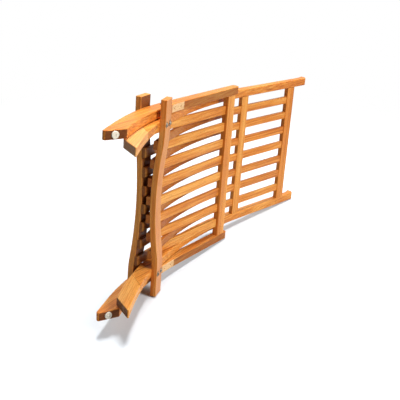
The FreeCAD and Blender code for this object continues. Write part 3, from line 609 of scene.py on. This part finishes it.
fastener_tree, tree, given = geometry_tree("driven_fasteners", {
    "Fastener": "Object", "Seed": "Int", "Material": "Material"})
facing = tree.node("GeometryNodeInputNamedAttribute", {"data_type": "FLOAT_VECTOR"},
                   {"Name": "facing"})
aim = tree.node("FunctionNodeAlignRotationToVector", {"axis": "Z"}, {"Vector": facing})
angle = tree.node("FunctionNodeRandomValue", {"data_type": "FLOAT"},
                  {2: 0.0, 3: 2 * math.pi, "Seed": given["Seed"]}, out=1)
spin = tree.node("FunctionNodeAxisAngleToRotation", None, {"Axis": (0, 0, 1), "Angle": angle})
aim = tree.node("FunctionNodeRotateRotation", {"rotation_space": "LOCAL"},
                {"Rotation": aim, "Rotate By": spin})
fastener = tree.node("GeometryNodeObjectInfo", None, {"Object": given["Fastener"]}, out="Geometry")
row = tree.node("GeometryNodeInstanceOnPoints", None,
                {"Points": given["Geometry"], "Instance": fastener, "Rotation": aim})
row = tree.node("GeometryNodeRealizeInstances", None, {"Geometry": row})
row = tree.node("GeometryNodeSetMaterial", None, {"Geometry": row, "Material": given["Material"]})
tree.node("NodeGroupOutput", None, {"Geometry": row})


def fasteners(name, places, pattern, seed, material, body):
    """The like fasteners of one CAD node, each turned at random in its hole."""
    piece = made_by(fastener_points(name + "_points", places), fastener_tree,
                    {"Fastener": pattern, "Seed": seed, "Material": material}, name,
                    FASTENER_CREASE)
    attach(piece, body)
    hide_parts(name)


def rusted_steel(name, dark, rust, amount):
    """Steel under patches of rust; a higher amount has more of it."""
    material, tree = new_material(name)
    coordinates = tree.node("ShaderNodeTexCoord", out="Object")
    patches = tree.noise(coordinates, (420.0, 420.0, 420.0), detail=4.0)
    fine = tree.noise(coordinates, (2600.0, 2600.0, 2600.0))
    mask = (patches * 0.7 + fine * 0.3).rising(0.62 - amount * 0.3, 0.70 - amount * 0.2)
    colour = tree.blend(mask, painted(*dark), painted(*rust))
    finish_material(tree, colour, mask * 0.35 + fine * 0.2 + 0.35, fine + patches * 0.5,
                    relief=0.00008, metallic=0.85 - mask * 0.85)
    return material


dark_screw = rusted_steel("blackened_screw_steel", BLACKENED_STEEL, DARK_RUST, 0.4)
slat_screw = sunk_screw("slat_screw", SLAT_SCREW_HEAD, SLAT_SCREW_SHANK, SLAT_SCREW_LENGTH,
                        SLAT_SCREW_RIM)


def slat_screw_places(seat, angle, side, flat, dish, thickness, count):
    """On each slat's free face, over the middle of the board, facing away from the board.

    The side is 1 or -1, as the board's back lies towards the rear or the sitting side.
    """
    outward = heading(angle + 90) * side
    places = []
    for z in slat_heights(count):
        depth = hollow(z, flat, dish) + thickness - SLAT_SCREW_RECESS
        places.append((seat - outward * depth + Vector((0, 0, z)), -outward))
    return places


fasteners("seat_slat_screws", slat_screw_places(
    REAR_BOARD_PLACE, REAR_BOARD_ANGLE, 1, REAR_BOARD_FLAT, REAR_BOARD_DISH,
    SEAT_SLAT_THICKNESS, SEAT_SLAT_COUNT), slat_screw, 3, dark_screw, "seat_frame")


# Rear board screws. Two larger wood screws through each end of the rear board into the rail,
# side by side, with their flat heads just under the wood.

REAR_BOARD_THICKNESS = 19.0
REAR_SCREW_HEAD = 10.0
REAR_SCREW_SHANK = 5.0
REAR_SCREW_LENGTH = 45.0
REAR_SCREW_RECESS = 0.6
REAR_SCREW_RIM = 0.2
REAR_SCREW_SPACING = 28.0
SEAT_RAIL_MIDDLE_Z = 252.5


def board_screw_places(seat, angle, side, rail_z, spacing, depth):
    """Two places over each rail, side by side across the board's width."""
    outward = heading(angle + 90) * side
    along = heading(angle)
    places = []
    for end in (1, -1):
        for step in (-0.5, 0.5):
            lift = Vector((0, 0, end * rail_z))
            places.append((seat + outward * depth + along * (step * spacing) + lift, outward))
    return places


rear_screw = sunk_screw("rear_screw", REAR_SCREW_HEAD, REAR_SCREW_SHANK, REAR_SCREW_LENGTH,
                        REAR_SCREW_RIM)
fasteners("rear_bar_screws", board_screw_places(
    REAR_BOARD_PLACE, REAR_BOARD_ANGLE, 1, SEAT_RAIL_MIDDLE_Z, REAR_SCREW_SPACING,
    REAR_BOARD_THICKNESS - REAR_SCREW_RECESS), rear_screw, 5, dark_screw, "seat_frame")


# Rear glides. A turned disc of cream plastic is nailed under each rear leg, so that the open
# chair glides on a terrace. Scuffed and a little dirty in patches.

GLIDE_CREAM = (240, 234, 216)
GLIDE_DIRT = (176, 158, 128)
NAIL_STEEL = (226, 218, 204)
NAIL_RUST = (176, 152, 124)


def scuffed_plastic(name, clean, dirt):
    """Moulded plastic with smears of dirt and fine scratches."""
    material, tree = new_material(name)
    coordinates = tree.node("ShaderNodeTexCoord", out="Object")
    smears = tree.noise(coordinates, (160.0, 160.0, 160.0), detail=4.0)
    scratches = tree.noise(coordinates, (300.0, 2600.0, 900.0))
    mask = smears.rising(0.50, 0.72) * 0.45 + scratches.rising(0.60, 0.70) * 0.35
    colour = tree.blend(mask, painted(*clean), painted(*dirt))
    finish_material(tree, colour, mask * 0.25 + 0.42, smears * 0.4 - scratches * 0.6,
                    relief=0.00010)
    return material


glide_plastic = scuffed_plastic("cream_glide_plastic", GLIDE_CREAM, GLIDE_DIRT)
for side in ("right", "left"):
    set_only_material(nodes["rear_glide_" + side], glide_plastic)
set_only_material(nodes["glide_nails"],
                  rusted_steel("glide_nail_steel", NAIL_STEEL, NAIL_RUST, 0.1))


# Back rails and front legs. Each back rail is sawn from one plank, and its leg from another
# with the grain down the leg; the two meet in a slanting glued joint just below the pivot.
# The legs' cut ends have stood on stone, so their grain is bruised, and one leg is paler: partly
# its wood, partly painted sheen.

BACK_RAIL_GRAIN = heading(7)
LEG_GRAIN = heading(34)
FRONT_FOOT_CUT = heading(159.5)
WORN_GREY = (196, 186, 176)
# painted sheen, with a paler wood: the pale tan blended over the right leg
PALE_TAN_AND_SHEEN = (238, 190, 142)
GLUE_LINE_FACING = -24.04
GLUE_LINE_PLACE = -102.65


def glue_line(tree, coordinates, normal, colour, roughness, height):
    """The thin dark line where the slanting joint of a back rail and its leg comes out."""
    place = along_chair(tree, coordinates)
    away = tree.dot(place, heading(GLUE_LINE_FACING)) - GLUE_LINE_PLACE * MM
    line = abs(away).falling(0.0003, 0.0011)
    colour = tree.blend(line * 0.50, colour, painted(*PORE_BROWN))
    return colour, roughness + line * 0.1, height - line * 0.4


def worn_foot(tree, coordinates, normal, colour, roughness, height):
    """Grey bruises on the cut end of a leg."""
    colour, roughness, height = glue_line(tree, coordinates, normal, colour, roughness, height)
    place = along_chair(tree, coordinates)
    bruise = tree.noise(place, (50.0, 50.0, 80.0), detail=5.0, rough=0.65).rising(0.46, 0.66)
    mask = tree.dot(normal, lean @ FRONT_FOOT_CUT).rising(0.85, 0.97) * bruise
    colour = tree.blend(mask * 0.24, colour, painted(*WORN_GREY))
    return colour, roughness + mask * 0.15, height - mask * 0.4


def paler_leg_and_sheen(tree, coordinates, normal, colour, roughness, height):
    """The right leg, paler all over than the left: partly its wood, partly painted sheen."""
    colour = tree.blend(0.28, colour, painted(*PALE_TAN_AND_SHEEN))
    return worn_foot(tree, coordinates, normal, colour, roughness, height)


set_only_material(nodes["back_rail_right"],
                  teak("teak_back_rail_right", BACK_RAIL_GRAIN, 6.0, red=0.15, extra=glue_line))
set_only_material(nodes["back_rail_left"],
                  teak("teak_back_rail_left", BACK_RAIL_GRAIN, 7.0, tone=0.04, extra=glue_line))
set_only_material(nodes["front_leg_right"],
                  teak("teak_front_leg_right", LEG_GRAIN, 8.0, tone=0.16, cut=FRONT_FOOT_CUT,
                       extra=paler_leg_and_sheen))
set_only_material(nodes["front_leg_left"],
                  teak("teak_front_leg_left", LEG_GRAIN, 9.0, tone=0.20, cut=FRONT_FOOT_CUT,
                       extra=worn_foot))


# Back cross bars. The top bar and the middle bar are straight and tenoned between the back
# rails; the slats end in the one and pass through the other.

set_only_material(nodes["back_top_bar"], teak("teak_back_top_bar", LATERAL, 10.0, tone=-0.04))
set_only_material(nodes["back_middle_bar"], teak("teak_back_middle_bar", LATERAL, 11.0, tone=0.12))


# Back lower bar. The second hollowed teak board, let into the sitting side of the back rails.
# Steel screws with washers hold its ends, and each has left a dark ring on the wood.

LOWER_BOARD_PLACE = Vector((-42.95, -42.79, 0))
LOWER_BOARD_ANGLE = 26.52
LOWER_BOARD_WIDTH = 48.0
LOWER_BOARD_THICKNESS = 18.0
LOWER_BOARD_FLAT = 208.5
LOWER_BOARD_DISH = 15.0
LOWER_SCREW_Z = 227.0
LOWER_SCREW_SPACING = 27.0
# painted sheen, with some dust: the pale tan of the lower board's free face
DUST_AND_SHEEN_TAN = (200, 146, 112)
WASHER_STAIN = (62, 40, 28)
washer_places = board_screw_places(LOWER_BOARD_PLACE, LOWER_BOARD_ANGLE, -1, LOWER_SCREW_Z,
                                   LOWER_SCREW_SPACING, LOWER_BOARD_THICKNESS)


def washer_stains_and_sheen(tree, coordinates, normal, colour, roughness, height):
    """Paler wood on the free face, partly dust and partly painted sheen, and a dark ring round
    each washer from wet steel.
    """
    ragged = tree.noise(coordinates, (320.0, 320.0, 320.0), detail=3.0) * 0.006 - 0.003
    mark = None
    for point, _ in washer_places:
        away = tree.node("ShaderNodeVectorMath", {"operation": "DISTANCE"},
                         {0: coordinates, 1: chair @ (point * MM)}, out="Value")
        ring = (away + ragged).falling(0.0065, 0.0115)
        mark = ring if mark is None else mark.math("MAXIMUM", ring)
    free = tree.dot(normal, lean @ heading(LOWER_BOARD_ANGLE - 90)).rising(0.60, 0.90)
    # painted sheen, with some dust: the free face blended towards a pale tan
    colour = tree.blend(free * 0.30, colour, painted(*DUST_AND_SHEEN_TAN))
    colour = tree.blend(mark * 0.72, colour, painted(*WASHER_STAIN))
    return colour, roughness + mark * 0.1, height


set_only_material(nodes["back_lower_bar"],
                  teak("teak_back_lower_bar", LATERAL, 12.0, tone=0.14, red=0.40,
                       extra=washer_stains_and_sheen))


# Lower bar screws and washers. Two pan-head zinc screws over plain washers hold each end of
# the lower bar to its rail. The weather has dulled them.

LOWER_SCREW_HEAD = 9.0
LOWER_SCREW_HEAD_HEIGHT = 3.2
LOWER_SCREW_SHANK = 5.0
LOWER_SCREW_LENGTH = 44.0
WASHER_DIAMETER = 13.0
WASHER_BORE = 5.16
WASHER_THICKNESS = 1.2
WASHER_RIM = 0.3
WASHER_STEPS = 40
DULL_ZINC = (150, 143, 130)
ZINC_GRIME = (84, 70, 54)


def dulled_metal(name, bright, grime):
    """Plain metal, part of it under a matt bloom of grime."""
    material, tree = new_material(name)
    coordinates = tree.node("ShaderNodeTexCoord", out="Object")
    bloom = tree.noise(coordinates, (260.0, 260.0, 260.0), detail=4.0)
    specks = tree.noise(coordinates, (1900.0, 1900.0, 1900.0))
    mask = (bloom * 0.6 + specks * 0.4).rising(0.46, 0.60)
    colour = tree.blend(mask, painted(*bright), painted(*grime))
    finish_material(tree, colour, mask * 0.35 + 0.30, specks + bloom, relief=0.00005,
                    metallic=1.0 - mask * 0.6)
    return material


zinc = dulled_metal("dulled_zinc", DULL_ZINC, ZINC_GRIME)
head_radius = LOWER_SCREW_HEAD / 2
head_top = LOWER_SCREW_HEAD_HEIGHT
shank_radius = LOWER_SCREW_SHANK / 2
lower_screw_mesh = turned_mesh("lower_screw", [
    (0, head_top), (head_radius * 0.55, head_top - 0.15), (head_radius * 0.80, head_top - 0.7),
    (head_radius * 0.96, head_top - 1.6), (head_radius, head_top - 2.3), (head_radius, 0),
    (shank_radius, 0), (shank_radius, shank_radius - LOWER_SCREW_LENGTH),
    (0, -LOWER_SCREW_LENGTH)], SCREW_STEPS)
lower_screw = put_in_scene("lower_screw", cross_cut(
    lower_screw_mesh, LOWER_SCREW_HEAD * DRIVE_SPAN, head_top - DRIVE_SLOT, head_top + DRIVE_SLOT))
screw_places = board_screw_places(LOWER_BOARD_PLACE, LOWER_BOARD_ANGLE, -1, LOWER_SCREW_Z,
                                  LOWER_SCREW_SPACING, LOWER_BOARD_THICKNESS + WASHER_THICKNESS)
fasteners("lower_bar_screws", screw_places, lower_screw, 7, zinc, "back_frame")
bore = WASHER_BORE / 2
rim = WASHER_DIAMETER / 2
washer = put_in_scene("washer", turned_mesh("washer", [
    (bore, 0), (rim, 0), (rim, WASHER_THICKNESS - WASHER_RIM),
    (rim - WASHER_RIM, WASHER_THICKNESS), (bore, WASHER_THICKNESS)], WASHER_STEPS, ring=True))
fasteners("lower_bar_washers", washer_places, washer, 8, zinc, "back_frame")


# Back slats. Seven narrower teak strips from the top bar, through the middle bar, bent down
# onto the lower board, and screwed there like the seat's. Their lower half, which lies between
# the frames when the chair is folded, is painted browner as painted shade.

BACK_SLAT_COUNT = 7
BACK_SLAT_WIDTH = 25.0
BACK_SLAT_THICKNESS = 11.5
BACK_SLAT_FRONT = Vector((738.93, 104.01, 0))
BACK_SLAT_ANGLE = 1.5
BACK_SLAT_GRAIN = heading(2)
BACK_SLAT_BEND_STEPS = 28


def crossing(point_a, angle_a, point_b, angle_b):
    """Where two straights cross in the side view."""
    across = heading(angle_b + 90)
    step = (point_b - point_a).dot(across) / heading(angle_a).dot(across)
    return point_a + heading(angle_a) * step


def back_slat_line(z):
    """From the top bar's lower face to the far edge of the lower board."""
    outward = heading(LOWER_BOARD_ANGLE - 90)
    on_board = LOWER_BOARD_PLACE - outward * hollow(z, LOWER_BOARD_FLAT, LOWER_BOARD_DISH)
    corner = crossing(BACK_SLAT_FRONT, BACK_SLAT_ANGLE, on_board, LOWER_BOARD_ANGLE)
    bend = (corner - on_board).length - LOWER_BOARD_WIDTH / 2
    half = BACK_SLAT_THICKNESS / 2
    front = BACK_SLAT_FRONT + heading(BACK_SLAT_ANGLE + 90) * half
    middle = on_board - outward * half
    corner = crossing(front, BACK_SLAT_ANGLE, middle, LOWER_BOARD_ANGLE)
    rear = middle - heading(LOWER_BOARD_ANGLE) * (LOWER_BOARD_WIDTH / 2)
    lift = Vector((0, 0, z))
    return front + lift, corner + lift, rear + lift, bend


def painted_shade_low(tree, coordinates, normal, colour, roughness, height):
    """The half of each slat that lies against the seat, painted browner as painted shade."""
    mask = tree.coordinate(along_chair(tree, coordinates), "X").falling(0.32, 0.42)
    return tree.blend(mask * 0.55, colour, painted(*STREAK_BROWN)), roughness, height


back_slat_teak = teak("teak_back_slats", BACK_SLAT_GRAIN, 13.0, tone=-0.03,
                      extra=painted_shade_low, piece="slat")
back_slats = made_by(
    slat_lines("back_slat_lines", [back_slat_line(z) for z in slat_heights(BACK_SLAT_COUNT)]),
    slat_tree, {"Width": BACK_SLAT_WIDTH * MM, "Thickness": BACK_SLAT_THICKNESS * MM,
                "Edge Rounding": SLAT_EDGE_ROUNDING * MM, "Bend Steps": BACK_SLAT_BEND_STEPS,
                "Material": back_slat_teak},
    "back_slats", SLAT_CREASE)
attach(back_slats, "back_frame")
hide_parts(*["back_slat_%d" % (number + 1) for number in range(BACK_SLAT_COUNT)])
fasteners("back_slat_screws", slat_screw_places(
    LOWER_BOARD_PLACE, LOWER_BOARD_ANGLE, -1, LOWER_BOARD_FLAT, LOWER_BOARD_DISH,
    BACK_SLAT_THICKNESS, BACK_SLAT_COUNT), slat_screw, 4, dark_screw, "back_frame")
for pattern in (slat_screw, rear_screw, lower_screw, washer):
    bpy.data.objects.remove(pattern)


# Pivots. On each side a zinc bolt runs through both rails: a spacer keeps the rails apart, a
# brass bush turns on the bolt inside the back rail, and a washer and nut close the stack.

BRASS = (196, 160, 96)
BRASS_GRIME = (120, 92, 54)
brass = dulled_metal("pivot_brass", BRASS, BRASS_GRIME)
for side in ("right", "left"):
    for part in ("bolt", "nut", "spacer", "washer"):
        set_only_material(nodes["pivot_%s_%s" % (part, side)], zinc)
    set_only_material(nodes["pivot_bush_" + side], brass)


# The studio: a white floor that glows where it is out of the lamps' reach, a soft lamp
# overhead, a larger one in front of the seat's underside, a weak one behind, and a pale room.

FLOOR_SIZE = 30.0
FLOOR_SEEN = (0.79, 0.84, 0.885, 1)
FLOOR_LIGHTING = (0.34, 0.34, 0.34, 1)
GLOW_START = 0.9
GLOW_FULL = 1.9
ROOM_LIGHT = 0.08
LAMP_AIM = Vector((0, 0, 0.3))


def seen_rays(tree):
    """1 for the rays that see the background, straight, off gloss or through glass."""
    camera_ray = tree.node("ShaderNodeLightPath", out="Is Camera Ray")
    glossy_ray = tree.node("ShaderNodeLightPath", out="Is Glossy Ray")
    transmission_ray = tree.node("ShaderNodeLightPath", out="Is Transmission Ray")
    return camera_ray.math("MAXIMUM", glossy_ray).math("MAXIMUM", transmission_ray)


floor_mesh = bpy.data.meshes.new("floor")
half = FLOOR_SIZE / 2
floor_mesh.from_pydata([(-half, -half, 0), (half, -half, 0), (half, half, 0), (-half, half, 0)],
                       [], [(0, 1, 2, 3)])
floor = put_in_scene("floor", floor_mesh)
floor_white, tree = new_material("studio_white")
seen = seen_rays(tree)
floor_place = tree.node("ShaderNodeTexCoord", out="Object")
matt = tree.node("ShaderNodeBsdfDiffuse", None,
                 {"Color": tree.blend(seen, FLOOR_LIGHTING, FLOOR_SEEN)})
away = tree.node("ShaderNodeVectorMath", {"operation": "LENGTH"}, {0: floor_place}, out="Value")
glow = tree.node("ShaderNodeEmission", None, {"Color": (1, 1, 1, 1), "Strength": 1.0})
shader = tree.node("ShaderNodeMixShader", None,
                   {0: away.rising(GLOW_START, GLOW_FULL) * seen, 1: matt, 2: glow})
tree.node("ShaderNodeOutputMaterial", None, {"Surface": shader})
floor_mesh.materials.append(floor_white)

world = bpy.data.worlds.new("studio")
world.use_nodes = True
world.node_tree.nodes.clear()
bpy.context.scene.world = world
tree = Tree(world.node_tree)
room = tree.node("ShaderNodeBackground", None, {
    "Color": (1, 1, 1, 1), "Strength": seen_rays(tree) * (1.0 - ROOM_LIGHT) + ROOM_LIGHT})
tree.node("ShaderNodeOutputWorld", None, {"Surface": room})


def soft_lamp(name, direction, distance, size, energy):
    """A round lamp this far away, facing the middle of the chair."""
    lamp_data = bpy.data.lights.new(name, "AREA")
    lamp_data.shape = "DISK"
    lamp_data.size = size
    lamp_data.energy = energy
    lamp = put_in_scene(name, lamp_data)
    lamp.location = direction.normalized() * distance + LAMP_AIM
    lamp.rotation_mode = "QUATERNION"
    lamp.rotation_quaternion = direction.to_track_quat("Z", "Y")


soft_lamp("overhead", Vector((0.05, 0.05, 1.0)), distance=6.0, size=2.0, energy=490)
soft_lamp("front", Vector((0.22, -1.0, 0.60)), distance=7.0, size=3.5, energy=440)
soft_lamp("rear", Vector((0.30, 1.0, 0.60)), distance=7.0, size=4.0, energy=75)

bpy.context.scene.view_settings.view_transform = "Standard"
